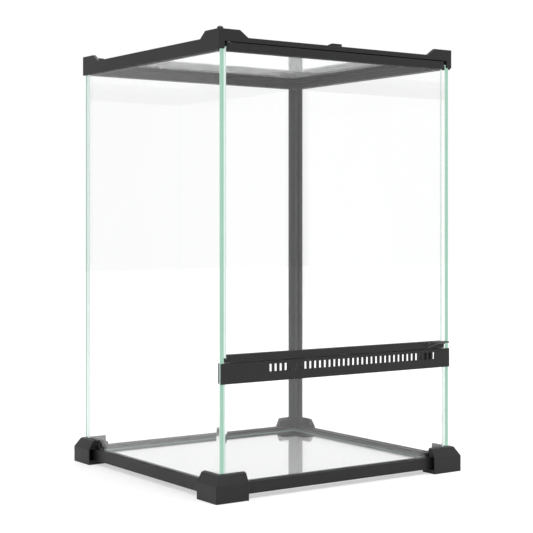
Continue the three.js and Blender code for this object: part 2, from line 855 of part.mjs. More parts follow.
function makeHingePins() {
  const topPin = upright(
    hingeX, hingeY, pinDiameter, doorTop - pinIntoRail, frontRailLow + pinIntoFrame, pinSides,
  );
  addPiece("hinge_pin_top", topPin, steel);
  const bottomPin = upright(
    hingeX, hingeY, pinDiameter, stripHigh - pinIntoFrame, doorBottom + pinIntoRail, pinSides,
  );
  addPiece("hinge_pin_bottom", bottomPin, steel);
}

makeBottomRails();
makeFeet();
makePanes();
makeSeams();
makeVentStrip();
makeTopFrame();
makeCableGate();
makeLid();
makeLidCatches();
makeDoor();
makeHingePins();

export default terrarium;
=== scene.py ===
"""Dresses the reptile terrarium: softened mouldings, clear panes with green edges, silicone
joints, a wire screen in the lid, steel fittings and a pale studio."""

import json
import math

import bmesh
import bpy
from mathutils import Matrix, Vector


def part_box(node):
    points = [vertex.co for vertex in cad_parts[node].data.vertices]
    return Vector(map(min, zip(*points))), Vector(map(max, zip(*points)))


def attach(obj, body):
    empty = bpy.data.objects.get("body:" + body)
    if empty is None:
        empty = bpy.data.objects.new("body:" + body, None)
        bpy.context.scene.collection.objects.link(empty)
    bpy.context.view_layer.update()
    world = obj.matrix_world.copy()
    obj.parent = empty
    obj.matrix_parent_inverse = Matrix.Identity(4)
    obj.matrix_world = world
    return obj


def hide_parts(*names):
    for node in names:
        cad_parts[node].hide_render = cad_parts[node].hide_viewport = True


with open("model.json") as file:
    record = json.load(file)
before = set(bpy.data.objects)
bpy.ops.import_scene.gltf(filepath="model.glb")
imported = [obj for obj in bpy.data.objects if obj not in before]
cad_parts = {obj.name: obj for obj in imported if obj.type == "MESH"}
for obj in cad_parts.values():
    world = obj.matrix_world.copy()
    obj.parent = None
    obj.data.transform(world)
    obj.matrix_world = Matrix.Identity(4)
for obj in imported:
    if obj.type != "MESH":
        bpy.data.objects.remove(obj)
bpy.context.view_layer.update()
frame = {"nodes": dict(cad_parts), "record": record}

bl_info = {
    "name": "Reptile terrarium",
    "version": (1, 0, 0),
    "blender": (4, 5, 0),
    "location": "View3D > Sidebar > Terrarium",
    "description": "Builds the visible pieces of a front-opening glass terrarium",
    "category": "Object",
}

# Limits for the copies of the solids: a distance in metres and angles
MERGE_DISTANCE = 0.000002
FLAT_ANGLE = math.radians(0.5)
SHARP_ANGLE = math.radians(24)
SMOOTH_ANGLE = math.radians(40)
LIP_ANGLE = math.radians(60)

# Shortest edge that is rounded on each kind of piece, in metres
SHORTEST_ON_BOTTOM_RAIL = 0.004
SHORTEST_ON_FOOT = 0.0025
SHORTEST_ON_CLEAR_BEAD = 0.003
SHORTEST_ON_BLACK_BEAD = 0.001
SHORTEST_ON_SLIM_MOULDING = 0.0015
SHORTEST_ON_GATE = 0.001
SHORTEST_ON_RING = 0.003
SHORTEST_ON_CATCH = 0.0008
SHORTEST_ON_PIN = 0.0003
SHORTEST_ON_PLATE = 0.0005
SHORTEST_ON_MAGNET = 0.001

# Steps across a rounded edge
ROUND_STEPS = 2
LIP_STEPS = 4

# Part of a normal along an axis above which a pane's face counts as square to that axis
SQUARE_SHARE = 0.99

# Material slots of a pane, and of the door's bottom rail
CLEAR_FACE = 0
CUT_EDGE = 1
GROUND_ARRIS = 2
# The rounded edge of the pull's lip takes the slot of a pale finish that paints a highlight along it.
PAINTED_HIGHLIGHT_SLOT = 1

# Chamfer of a wire, and height of each row over or under the screen's middle, as shares of
# the wire's thickness
WIRE_ARRIS_SHARE = 0.25
WIRE_LIFT_SHARE = 0.45

WHITE = (1.0, 1.0, 1.0, 1.0)
FLOOR_CELLS = 12
SENSOR_WIDTH = 36.0
NEAR_CLIP = 0.02
FAR_CLIP = 60.0


class TerrariumSizes(bpy.types.PropertyGroup):
    """Sizes of the visible detail, in metres."""

    moulding_round: bpy.props.FloatProperty(
        name="Moulding edge",
        description="Rounding of the edges of the bottom rails and feet",
        default=0.0005,
        min=0.0,
        unit="LENGTH",
    )
    slim_round: bpy.props.FloatProperty(
        name="Slim moulding edge",
        description="Rounding of the edges of the top frame, the lid frame and the door's top rail",
        default=0.0004,
        min=0.0,
        unit="LENGTH",
    )
    strip_round: bpy.props.FloatProperty(
        name="Strip edge",
        description="Rounding of the edges of the vent strip and its slots",
        default=0.00035,
        min=0.0,
        unit="LENGTH",
    )
    small_round: bpy.props.FloatProperty(
        name="Small moulding edge",
        description="Rounding of the edges of the gate, the catches and the door's bottom rail",
        default=0.0003,
        min=0.0,
        unit="LENGTH",
    )
    ring_round: bpy.props.FloatProperty(
        name="Ring edge",
        description="Rounding of the edges of the thin ring that holds the screen",
        default=0.00015,
        min=0.0,
        unit="LENGTH",
    )
    clear_bead_round: bpy.props.FloatProperty(
        name="Clear bead edge",
        description="Rounding of the edges of the clear silicone joints",
        default=0.0004,
        min=0.0,
        unit="LENGTH",
    )
    black_bead_round: bpy.props.FloatProperty(
        name="Black bead edge",
        description="Rounding of the edges of the wide black joint",
        default=0.0005,
        min=0.0,
        unit="LENGTH",
    )
    pane_arris: bpy.props.FloatProperty(
        name="Pane arris",
        description="Ground chamfer along the edges of each pane",
        default=0.0005,
        min=0.0,
        unit="LENGTH",
    )
    wire_pitch: bpy.props.FloatProperty(
        name="Wire pitch",
        description="Distance between the wires of the lid's screen",
        default=0.0018,
        min=0.0005,
        unit="LENGTH",
    )
    wire_width: bpy.props.FloatProperty(
        name="Wire width",
        description="Width of the flat wires of the lid's screen",
        default=0.0009,
        min=0.0001,
        unit="LENGTH",
    )
    wire_thickness: bpy.props.FloatProperty(
        name="Wire thickness",
        description="Thickness of the flat wires of the lid's screen",
        default=0.00005,
        min=0.00002,
        unit="LENGTH",
    )
    lip_round: bpy.props.FloatProperty(
        name="Lip edge",
        description="Rounding of the lower edge of the pull's lip",
        default=0.0008,
        min=0.0,
        unit="LENGTH",
    )
    lip_reach: bpy.props.FloatProperty(
        name="Lip reach",
        description="How far back from its front the lip's lower edge is rounded",
        default=0.0058,
        min=0.0,
        unit="LENGTH",
    )
    lip_depth: bpy.props.FloatProperty(
        name="Lip depth",
        description="Least height of the lip's rounded edge under the rail's top",
        default=0.001,
        min=0.0,
        unit="LENGTH",
    )
    lip_thickness: bpy.props.FloatProperty(
        name="Lip thickness",
        description="Height of the band at the rail's top that moves down whole",
        default=0.0019,
        min=0.0,
        unit="LENGTH",
    )
    pull_reach: bpy.props.FloatProperty(
        name="Pull reach",
        description="How far the pull stands out from the rail's face",
        default=0.0075,
        min=0.0,
        unit="LENGTH",
    )
    rail_drop: bpy.props.FloatProperty(
        name="Rail drop",
        description="How far the top of the door's bottom rail sits under its solid's top",
        default=0.0016,
        min=0.0,
        unit="LENGTH",
    )
    fitting_round: bpy.props.FloatProperty(
        name="Fitting edge",
        description="Rounding of the edges of the pins and the magnet",
        default=0.0003,
        min=0.0,
        unit="LENGTH",
    )
    plate_round: bpy.props.FloatProperty(
        name="Plate edge",
        description="Rounding of the edges of the catch plate",
        default=0.0002,
        min=0.0,
        unit="LENGTH",
    )


class TerrariumFinishes(bpy.types.PropertyGroup):
    """Colours of the terrarium's materials."""

    plastic: bpy.props.FloatVectorProperty(
        name="Plastic",
        description="Colour of the black mouldings",
        subtype="COLOR",
        size=3,
        default=(0.0185, 0.0185, 0.019),
    )
    # Painted highlight: the pale grey that the lip's rounded edge is given in place of the light it
    # catches.
    painted_lip_highlight: bpy.props.FloatVectorProperty(
        name="Painted lip highlight",
        description="Pale grey painted as a highlight along the lower edge of the pull's lip",
        subtype="COLOR",
        size=3,
        default=(0.19, 0.19, 0.187),
    )
    pane_edge: bpy.props.FloatVectorProperty(
        name="Pane edge",
        description="Green of the cut edges of the panes",
        subtype="COLOR",
        size=3,
        default=(0.37, 0.64, 0.50),
    )
    # Paler partly for the grinding and partly as a painted highlight on the chamfers.
    pane_arris: bpy.props.FloatVectorProperty(
        name="Pane arris",
        description="Paler green of the ground chamfers of the panes",
        subtype="COLOR",
        size=3,
        default=(0.56, 0.76, 0.66),
    )
    # Painted highlight: the near-white green stands for the light these polished edges catch.
    door_edge: bpy.props.FloatVectorProperty(
        name="Polished edge highlight (painted)",
        description="Pale green painted as a highlight on the polished and bonded edges of panes",
        subtype="COLOR",
        size=3,
        default=(0.86, 0.94, 0.90),
    )
    clear_pane: bpy.props.FloatVectorProperty(
        name="Clear pane",
        description="Tint of the light that passes through a pane's face",
        subtype="COLOR",
        size=3,
        default=(0.995, 0.999, 0.997),
    )
    black_silicone: bpy.props.FloatVectorProperty(
        name="Black silicone",
        description="Colour of the wide rear joint",
        subtype="COLOR",
        size=3,
        default=(0.016, 0.018, 0.018),
    )
    clear_silicone: bpy.props.FloatVectorProperty(
        name="Clear silicone",
        description="Tint of the clear joints",
        subtype="COLOR",
        size=3,
        default=(0.985, 0.995, 0.990),
    )
    wire: bpy.props.FloatVectorProperty(
        name="Wire",
        description="Colour of the screen's wire",
        subtype="COLOR",
        size=3,
        default=(0.86, 0.87, 0.87),
    )
    steel: bpy.props.FloatVectorProperty(
        name="Steel",
        description="Colour of the hinge pins and the catch plate",
        subtype="COLOR",
        size=3,
        default=(0.55, 0.56, 0.57),
    )
    ferrite: bpy.props.FloatVectorProperty(
        name="Ferrite",
        description="Colour of the catch magnet",
        subtype="COLOR",
        size=3,
        default=(0.035, 0.035, 0.038),
    )


class TerrariumStudio(bpy.types.PropertyGroup):
    """Camera, floor and lamps."""

    camera_place: bpy.props.FloatVectorProperty(
        name="Camera",
        description="Place of the camera",
        subtype="TRANSLATION",
        size=3,
        default=(-0.8716, -1.3329, 0.2784),
    )
    camera_yaw: bpy.props.FloatProperty(
        name="Yaw",
        description="Turn of the level camera to the right of straight ahead",
        subtype="ANGLE",
        default=math.radians(36.48),
    )
    lens: bpy.props.FloatProperty(
        name="Lens",
        description="Focal length in millimetres on a 36 mm sensor",
        default=93.55,
    )
    lens_shift: bpy.props.FloatVectorProperty(
        name="Lens shift",
        description="Shift of the picture right and up, as shares of its width",
        size=2,
        default=(-0.1440, -0.0814),
    )
    floor_side: bpy.props.FloatProperty(
        name="Floor",
        description="Side of the square floor",
        default=12.0,
        unit="LENGTH",
    )
    floor_shade: bpy.props.FloatProperty(
        name="Floor shade",
        description="How much of the light the floor gives back",
        default=0.50,
    )
    glow_near: bpy.props.FloatProperty(
        name="Near glow",
        description="Light added to the seen floor round the terrarium",
        default=0.55,
    )
    glow_far: bpy.props.FloatProperty(
        name="Far glow",
        description="Light added to the seen floor beyond the reach of the lamps",
        default=0.72,
    )
    sky: bpy.props.FloatProperty(
        name="Sky",
        description="Strength of the light from all around",
        default=0.66,
    )
    dim_side: bpy.props.FloatProperty(
        name="Dim side",
        description="Share of the sky's light that comes from the left",
        default=0.66,
    )


def sizes():
    """The scene's sizes of the visible detail."""
    return bpy.context.scene.terrarium_sizes


def finishes():
    """The scene's colours."""
    return bpy.context.scene.terrarium_finishes


def studio():
    """The scene's settings of camera, floor and light."""
    return bpy.context.scene.terrarium_studio


def select_only(obj):
    """Selects one object and makes it the active one."""
    if bpy.context.object and bpy.context.object.mode != "OBJECT":
        bpy.ops.object.mode_set(mode="OBJECT")
    bpy.ops.object.select_all(action="DESELECT")
    obj.select_set(True)
    bpy.context.view_layer.objects.active = obj


def settle(obj):
    """Puts the object's place, turn and size into its mesh."""
    select_only(obj)
    bpy.ops.object.transform_apply(location=True, rotation=True, scale=True)


def body_of_node(node):
    """Name of the body that carries a CAD node."""
    bodies = frame["record"]["behaviour"]["bodies"]
    for body, nodes in bodies.items():
        if node in nodes:
            return body
    raise RuntimeError("no body carries " + node)


def hand_over(piece, node):
    """Lets a finished piece stand for a CAD node."""
    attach(piece, body_of_node(node))
    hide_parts(node)


def copy_of_node(node, name):
    """A merged copy of a CAD node, with its flat faces in one piece again."""
    mesh = frame["nodes"][node].data.copy()
    mesh.materials.clear()
    piece = bpy.data.objects.new(name, mesh)
    bpy.context.scene.collection.objects.link(piece)
    select_only(piece)
    bpy.ops.object.mode_set(mode="EDIT")
    bpy.ops.mesh.select_all(action="SELECT")
    bpy.ops.mesh.remove_doubles(threshold=MERGE_DISTANCE)
    bpy.ops.mesh.dissolve_limited(angle_limit=FLAT_ANGLE)
    bpy.ops.object.mode_set(mode="OBJECT")
    return piece


def round_long_edges(piece, width, shortest):
    """Rounds the sharp edges that are no shorter than a given length."""
    select_only(piece)
    bpy.ops.object.mode_set(mode="EDIT")
    bpy.ops.mesh.select_mode(type="EDGE")
    bpy.ops.mesh.select_all(action="DESELECT")
    bpy.ops.mesh.edges_select_sharp(sharpness=SHARP_ANGLE)
    shape = bmesh.from_edit_mesh(piece.data)
    for edge in shape.edges:
        if edge.select and edge.calc_length() < shortest:
            edge.select_set(False)
    shape.select_flush_mode()
    bmesh.update_edit_mesh(piece.data)
    bpy.ops.mesh.bevel(offset=width, segments=ROUND_STEPS, profile=0.5, clamp_overlap=True)
    bpy.ops.object.mode_set(mode="OBJECT")
    bpy.ops.object.shade_smooth_by_angle(angle=SMOOTH_ANGLE)
    even = piece.modifiers.new("flat faces", "WEIGHTED_NORMAL")
    even.keep_sharp = True
    bpy.ops.object.modifier_apply(modifier=even.name)


def soften_node(node, name, finish, width, shortest):
    """A copy of a CAD node with rounded edges and its finish."""
    piece = copy_of_node(node, name)
    round_long_edges(piece, width, shortest)
    piece.data.materials.append(finish)
    hand_over(piece, node)
    return piece


# Shader node groups

def socket(group, name, kind, way, value=None):
    """Adds a socket to a node group's interface."""
    item = group.interface.new_socket(name=name, in_out=way, socket_type=kind)
    if value is not None:
        item.default_value = value
    return item


def grain_group():
    """Fine moulded grain: a height for the bump and a slow drift of shade and gloss."""
    name = "moulded grain"
    if name in bpy.data.node_groups:
        return bpy.data.node_groups[name]
    group = bpy.data.node_groups.new(name, "ShaderNodeTree")
    socket(group, "Grain", "NodeSocketFloat", "INPUT", 2600.0)
    socket(group, "Drift", "NodeSocketFloat", "INPUT", 14.0)
    socket(group, "Height", "NodeSocketFloat", "OUTPUT")
    socket(group, "Shade", "NodeSocketFloat", "OUTPUT")
    entry = group.nodes.new("NodeGroupInput")
    leave = group.nodes.new("NodeGroupOutput")
    place = group.nodes.new("ShaderNodeTexCoord")
    fine = group.nodes.new("ShaderNodeTexNoise")
    fine.inputs["Detail"].default_value = 3.0
    fine.inputs["Roughness"].default_value = 0.6
    slow = group.nodes.new("ShaderNodeTexNoise")
    slow.inputs["Detail"].default_value = 4.0
    slow.inputs["Roughness"].default_value = 0.55
    links = group.links
    links.new(place.outputs["Object"], fine.inputs["Vector"])
    links.new(place.outputs["Object"], slow.inputs["Vector"])
    links.new(entry.outputs["Grain"], fine.inputs["Scale"])
    links.new(entry.outputs["Drift"], slow.inputs["Scale"])
    links.new(fine.outputs["Fac"], leave.inputs["Height"])
    links.new(slow.outputs["Fac"], leave.inputs["Shade"])
    return group


def smear_group():
    """Faint wiping marks and dust on glass, as a mask."""
    name = "wiping marks"
    if name in bpy.data.node_groups:
        return bpy.data.node_groups[name]
    group = bpy.data.node_groups.new(name, "ShaderNodeTree")
    socket(group, "Scale", "NodeSocketFloat", "INPUT", 6.0)
    socket(group, "Mask", "NodeSocketFloat", "OUTPUT")
    entry = group.nodes.new("NodeGroupInput")
    leave = group.nodes.new("NodeGroupOutput")
    place = group.nodes.new("ShaderNodeTexCoord")
    stretch = group.nodes.new("ShaderNodeMapping")
    stretch.inputs["Scale"].default_value = (1.0, 1.0, 0.25)
    noise = group.nodes.new("ShaderNodeTexNoise")
    noise.inputs["Detail"].default_value = 6.0
    noise.inputs["Distortion"].default_value = 1.2
    ramp = group.nodes.new("ShaderNodeValToRGB")
    ramp.color_ramp.elements[0].position = 0.52
    ramp.color_ramp.elements[1].position = 0.80
    links = group.links
    links.new(place.outputs["Object"], stretch.inputs["Vector"])
    links.new(stretch.outputs["Vector"], noise.inputs["Vector"])
    links.new(entry.outputs["Scale"], noise.inputs["Scale"])
    links.new(noise.outputs["Fac"], ramp.inputs["Fac"])
    links.new(ramp.outputs["Color"], leave.inputs["Mask"])
    return group


def principled(material):
    """The Principled shader of a material."""
    return material.node_tree.nodes["Principled BSDF"]


def new_finish(name):
    """A new material with its node tree and its Principled shader."""
    material = bpy.data.materials.new(name)
    material.use_nodes = True
    return material, material.node_tree, principled(material)


def use_group(tree, group, **values):
    """A node that holds a group, with its inputs set."""
    node = tree.nodes.new("ShaderNodeGroup")
    node.node_tree = group
    node.name = group.name
    for name, value in values.items():
        node.inputs[name].default_value = value
    return node


def mix_colours(tree, mask, low, high):
    """Mixes two colours by a mask output."""
    mix = tree.nodes.new("ShaderNodeMix")
    mix.data_type = "RGBA"
    mix.inputs["A"].default_value = (*low, 1.0)
    mix.inputs["B"].default_value = (*high, 1.0)
    tree.links.new(mask, mix.inputs["Factor"])
    return mix.outputs["Result"]


def map_value(tree, value, low, high, at_low=0.3, at_high=0.7):
    """Spreads a noise value over a new range."""
    spread = tree.nodes.new("ShaderNodeMapRange")
    spread.inputs["From Min"].default_value = at_low
    spread.inputs["From Max"].default_value = at_high
    spread.inputs["To Min"].default_value = low
    spread.inputs["To Max"].default_value = high
    tree.links.new(value, spread.inputs["Value"])
    return spread.outputs["Result"]


def add_bump(tree, shader, height, strength, distance):
    """Leads a height through a Bump node to the shader's normal."""
    bump = tree.nodes.new("ShaderNodeBump")
    bump.inputs["Strength"].default_value = strength
    bump.inputs["Distance"].default_value = distance
    tree.links.new(height, bump.inputs["Height"])
    tree.links.new(bump.outputs["Normal"], shader.inputs["Normal"])


def kept(name, make):
    """The named material, made the first time that it is asked for."""
    return bpy.data.materials.get(name) or make(name)


def make_grained(name, base, grain, drift, shades, roughness, bump):
    """A finish with a fine bump, whose shade and roughness drift over the piece.

    shades are the least and greatest share of the base colour, roughness its least and
    greatest value, and bump its strength and its depth in metres."""
    material, tree, shader = new_finish(name)
    pattern = use_group(tree, grain_group(), Grain=grain, Drift=drift)
    base = Vector(base)
    colour = mix_colours(tree, pattern.outputs["Shade"], base * shades[0], base * shades[1])
    tree.links.new(colour, shader.inputs["Base Color"])
    rough = map_value(tree, pattern.outputs["Shade"], *roughness)
    tree.links.new(rough, shader.inputs["Roughness"])
    add_bump(tree, shader, pattern.outputs["Height"], *bump)
    return material


def make_plastic(name):
    """Satin black plastic of the mouldings."""
    material = make_grained(
        name, finishes().plastic, grain=2600.0, drift=14.0,
        shades=(0.88, 1.14), roughness=(0.40, 0.52), bump=(0.22, 0.00006),
    )
    principled(material).inputs["Specular IOR Level"].default_value = 0.30
    return material


def make_painted_highlight_plastic(name):
    """The black plastic painted pale along the pull's lip as a highlight, and smoother there."""
    return make_grained(
        name, finishes().painted_lip_highlight, grain=1800.0, drift=60.0,
        shades=(0.80, 1.20), roughness=(0.24, 0.36), bump=(0.12, 0.00004),
    )


def make_clear_pane(name):
    """Clear float glass with faint wiping marks."""
    material, tree, shader = new_finish(name)
    smears = use_group(tree, smear_group(), Scale=6.0)
    tint = Vector(finishes().clear_pane)
    smeared_share = 0.985
    colour = mix_colours(tree, smears.outputs["Mask"], tint, tint * smeared_share)
    tree.links.new(colour, shader.inputs["Base Color"])
    rough = map_value(tree, smears.outputs["Mask"], 0.0, 0.02, at_low=0.0, at_high=1.0)
    tree.links.new(rough, shader.inputs["Roughness"])
    shader.inputs["Transmission Weight"].default_value = 1.0
    shader.inputs["IOR"].default_value = 1.5
    return material


def make_glass_edge(name, base, roughness):
    """A cut glass edge that gives off part of its own colour as a painted glow, in place of light led
    along the pane.
    """
    material = make_grained(
        name, base, grain=1200.0, drift=36.0,
        shades=(0.28, 0.34), roughness=roughness, bump=(0.15, 0.00005),
    )
    tree = material.node_tree
    shader = principled(material)
    pattern = tree.nodes[grain_group().name]
    # Painted glow: the edge is lit by its own emission, though it is no lamp.
    painted_glow_low_share = 0.92
    painted_glow_high_share = 1.08
    glow = mix_colours(
        tree, pattern.outputs["Shade"], Vector(base) * painted_glow_low_share, Vector(base) * painted_glow_high_share,
    )
    tree.links.new(glow, shader.inputs["Emission Color"])
    # Strength of the painted glow.
    shader.inputs["Emission Strength"].default_value = 0.68
    return material


def make_pane_edge(name):
    """Cut and seamed edge of a pane."""
    return make_glass_edge(name, finishes().pane_edge, roughness=(0.14, 0.26))


def make_pane_arris(name):
    """Ground chamfer of a pane, paler partly for its grinding and partly as a painted highlight."""
    return make_glass_edge(name, finishes().pane_arris, roughness=(0.30, 0.45))


def make_door_edge(name):
    """Polished or bonded edge of a pane, painted pale as a highlight."""
    return make_glass_edge(name, finishes().door_edge, roughness=(0.06, 0.14))


def make_black_silicone(name):
    """Black silicone of the wide joint."""
    return make_grained(
        name, finishes().black_silicone, grain=320.0, drift=22.0,
        shades=(0.85, 1.3), roughness=(0.28, 0.42), bump=(0.25, 0.0002),
    )


def make_clear_silicone(name):
    """Clear silicone, nearly unseen against the glass."""
    material = make_grained(
        name, finishes().clear_silicone, grain=260.0, drift=24.0,
        shades=(0.97, 1.0), roughness=(0.03, 0.10), bump=(0.2, 0.0002),
    )
    shader = principled(material)
    shader.inputs["Transmission Weight"].default_value = 1.0
    shader.inputs["IOR"].default_value = 1.12
    return material


def make_metal(name, base, grain, roughness):
    """A bare metal."""
    material = make_grained(
        name, base, grain=grain, drift=40.0,
        shades=(0.88, 1.10), roughness=roughness, bump=(0.12, 0.00003),
    )
    principled(material).inputs["Metallic"].default_value = 1.0
    return material


def make_wire(name):
    """Bright wire of the screen."""
    return make_metal(name, finishes().wire, grain=2400.0, roughness=(0.03, 0.07))


def make_steel(name):
    """Plain steel of the pins and the catch plate."""
    return make_metal(name, finishes().steel, grain=1800.0, roughness=(0.24, 0.36))


def make_ferrite(name):
    """Dull sintered ferrite of the magnet."""
    return make_grained(
        name, finishes().ferrite, grain=2200.0, drift=90.0,
        shades=(0.8, 1.3), roughness=(0.42, 0.6), bump=(0.35, 0.00006),
    )


def plastic():
    """The plastic that all the mouldings share."""
    return kept("black moulded plastic", make_plastic)


class PieceOperator:
    """What the operators that make pieces share."""

    bl_options = {"REGISTER", "UNDO"}


class TERRARIUM_OT_bottom_rails(PieceOperator, bpy.types.Operator):
    """Softens the four channel rails round the base pane"""

    bl_idname = "terrarium.bottom_rails"
    bl_label = "Bottom rails"

    def execute(self, context):
        for side in ("front", "rear", "left", "right"):
            soften_node(
                "bottom_rail_" + side, "bottom_rail_moulding_" + side, plastic(),
                sizes().moulding_round, SHORTEST_ON_BOTTOM_RAIL,
            )
        return {"FINISHED"}


class TERRARIUM_OT_feet(PieceOperator, bpy.types.Operator):
    """Softens the four bevelled corner feet"""

    bl_idname = "terrarium.feet"
    bl_label = "Feet"

    def execute(self, context):
        for corner in ("front_left", "front_right", "rear_left", "rear_right"):
            soften_node(
                "foot_" + corner, "foot_moulding_" + corner, plastic(),
                sizes().moulding_round, SHORTEST_ON_FOOT,
            )
        return {"FINISHED"}


def glaze(node, name, edge):
    """A pane with ground chamfers: clear faces, edges of the given finish and pale chamfers."""
    low, high = (Vector(corner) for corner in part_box(node))
    size = high - low
    bpy.ops.object.select_all(action="DESELECT")
    bpy.ops.mesh.primitive_cube_add(size=1.0, location=(low + high) / 2)
    piece = bpy.context.object
    piece.name = name
    piece.data.name = name
    piece.scale = size
    settle(piece)
    bpy.ops.object.mode_set(mode="EDIT")
    bpy.ops.mesh.select_all(action="SELECT")
    bpy.ops.mesh.bevel(offset=sizes().pane_arris, segments=1, affect="EDGES")
    bpy.ops.object.mode_set(mode="OBJECT")
    piece.data.materials.append(kept("clear float glass", make_clear_pane))
    piece.data.materials.append(edge)
    piece.data.materials.append(kept("ground glass arris", make_pane_arris))
    thin_way = min(range(3), key=lambda axis: size[axis])
    for face in piece.data.polygons:
        steepest = max(abs(part) for part in face.normal)
        if abs(face.normal[thin_way]) > SQUARE_SHARE:
            face.material_index = CLEAR_FACE
        elif steepest > SQUARE_SHARE:
            face.material_index = CUT_EDGE
        else:
            face.material_index = GROUND_ARRIS
    bpy.ops.object.shade_flat()
    hand_over(piece, node)
    return piece


class TERRARIUM_OT_panes(PieceOperator, bpy.types.Operator):
    """Glazes the base, the walls and the low front pane"""

    bl_idname = "terrarium.panes"
    bl_label = "Panes"

    def execute(self, context):
        edge = kept("green glass edge", make_pane_edge)
        # The pale edges of the rear, low front and door panes carry a painted highlight.
        bonded = kept("polished glass edge", make_door_edge)
        glaze("base_pane", "base_glass", edge)
        glaze("left_pane", "left_glass", edge)
        glaze("right_pane", "right_glass", edge)
        glaze("rear_pane", "rear_glass", bonded)
        glaze("lower_front_pane", "lower_front_glass", bonded)
        return {"FINISHED"}


class TERRARIUM_OT_seams(PieceOperator, bpy.types.Operator):
    """Lays the clear and black silicone joints"""

    bl_idname = "terrarium.seams"
    bl_label = "Silicone joints"

    def execute(self, context):
        clear = kept("clear silicone", make_clear_silicone)
        black = kept("black silicone", make_black_silicone)
        for place in ("rear_left", "front_left", "front_right", "floor"):
            soften_node(
                place + "_seam", place + "_bead", clear,
                sizes().clear_bead_round, SHORTEST_ON_CLEAR_BEAD,
            )
        soften_node(
            "rear_right_seam", "rear_right_bead", black,
            sizes().black_bead_round, SHORTEST_ON_BLACK_BEAD,
        )
        return {"FINISHED"}


class TERRARIUM_OT_vent_strip(PieceOperator, bpy.types.Operator):
    """Softens the slotted strip under the door"""

    bl_idname = "terrarium.vent_strip"
    bl_label = "Vent strip"

    def execute(self, context):
        soften_node(
            "vent_strip", "vent_strip_moulding", plastic(),
            sizes().strip_round, SHORTEST_ON_SLIM_MOULDING,
        )
        return {"FINISHED"}


class TERRARIUM_OT_top_frame(PieceOperator, bpy.types.Operator):
    """Softens the top frame and the gate of its cable inlet"""

    bl_idname = "terrarium.top_frame"
    bl_label = "Top frame"

    def execute(self, context):
        soften_node(
            "top_frame", "top_frame_moulding", plastic(),
            sizes().slim_round, SHORTEST_ON_SLIM_MOULDING,
        )
        soften_node(
            "cable_gate", "cable_gate_moulding", plastic(),
            sizes().small_round, SHORTEST_ON_GATE,
        )
        return {"FINISHED"}


class TERRARIUM_OT_lid(PieceOperator, bpy.types.Operator):
    """Softens the lid's frame and the ring that holds its screen"""

    bl_idname = "terrarium.lid"
    bl_label = "Lid frame"

    def execute(self, context):
        soften_node(
            "lid_frame", "lid_frame_moulding", plastic(),
            sizes().slim_round, SHORTEST_ON_SLIM_MOULDING,
        )
        soften_node(
            "lid_retainer", "lid_retainer_moulding", plastic(),
            sizes().ring_round, SHORTEST_ON_RING,
        )
        return {"FINISHED"}


def lay_wires(along, low, high, height):
    """A row of straight flat wires that lie along X or Y at one height."""
    pitch = sizes().wire_pitch
    across = 1 - along
    run = high[across] - low[across] - sizes().wire_width
    count = int(run / pitch) + 1
    size = [sizes().wire_width, sizes().wire_width, sizes().wire_thickness]
    size[along] = high[along] - low[along]
    place = [0.0, 0.0, height]
    place[along] = (low[along] + high[along]) / 2
    place[across] = (low[across] + high[across]) / 2 - (count - 1) * pitch / 2
    bpy.ops.object.select_all(action="DESELECT")
    bpy.ops.mesh.primitive_cube_add(size=1.0, location=place)
    wires = bpy.context.object
    wires.scale = size
    settle(wires)
    bpy.ops.object.mode_set(mode="EDIT")
    bpy.ops.mesh.select_all(action="SELECT")
    bpy.ops.mesh.bevel(offset=sizes().wire_thickness * WIRE_ARRIS_SHARE, segments=1)
    bpy.ops.object.mode_set(mode="OBJECT")
    array = wires.modifiers.new("row", "ARRAY")
    array.use_relative_offset = False
    array.use_constant_offset = True
    offset = [0.0, 0.0, 0.0]
    offset[across] = pitch
    array.constant_offset_displace = offset
    array.count = count
    bpy.ops.object.modifier_apply(modifier=array.name)
    return wires


class TERRARIUM_OT_screen(PieceOperator, bpy.types.Operator):
    """Lays the crossed wires of the lid's screen"""

    bl_idname = "terrarium.screen"
    bl_label = "Lid screen"

    def execute(self, context):
        low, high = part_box("lid_screen")
        middle = (low[2] + high[2]) / 2
        lift = sizes().wire_thickness * WIRE_LIFT_SHARE
        lengthwise = lay_wires(0, low, high, middle + lift)
        crosswise = lay_wires(1, low, high, middle - lift)
        select_only(lengthwise)
        crosswise.select_set(True)
        bpy.ops.object.join()
        screen = bpy.context.object
        screen.name = "lid_wire_screen"
        screen.data.name = "lid_wire_screen"
        screen.data.materials.append(kept("screen wire", make_wire))
        hand_over(screen, "lid_screen")
        return {"FINISHED"}


class TERRARIUM_OT_catches(PieceOperator, bpy.types.Operator):
    """Softens the lid's two turn catches"""

    bl_idname = "terrarium.catches"
    bl_label = "Lid catches"

    def execute(self, context):
        for place in ("front", "rear"):
            soften_node(
                "lid_catch_" + place, "lid_catch_moulding_" + place, plastic(),
                sizes().small_round, SHORTEST_ON_CATCH,
            )
        return {"FINISHED"}


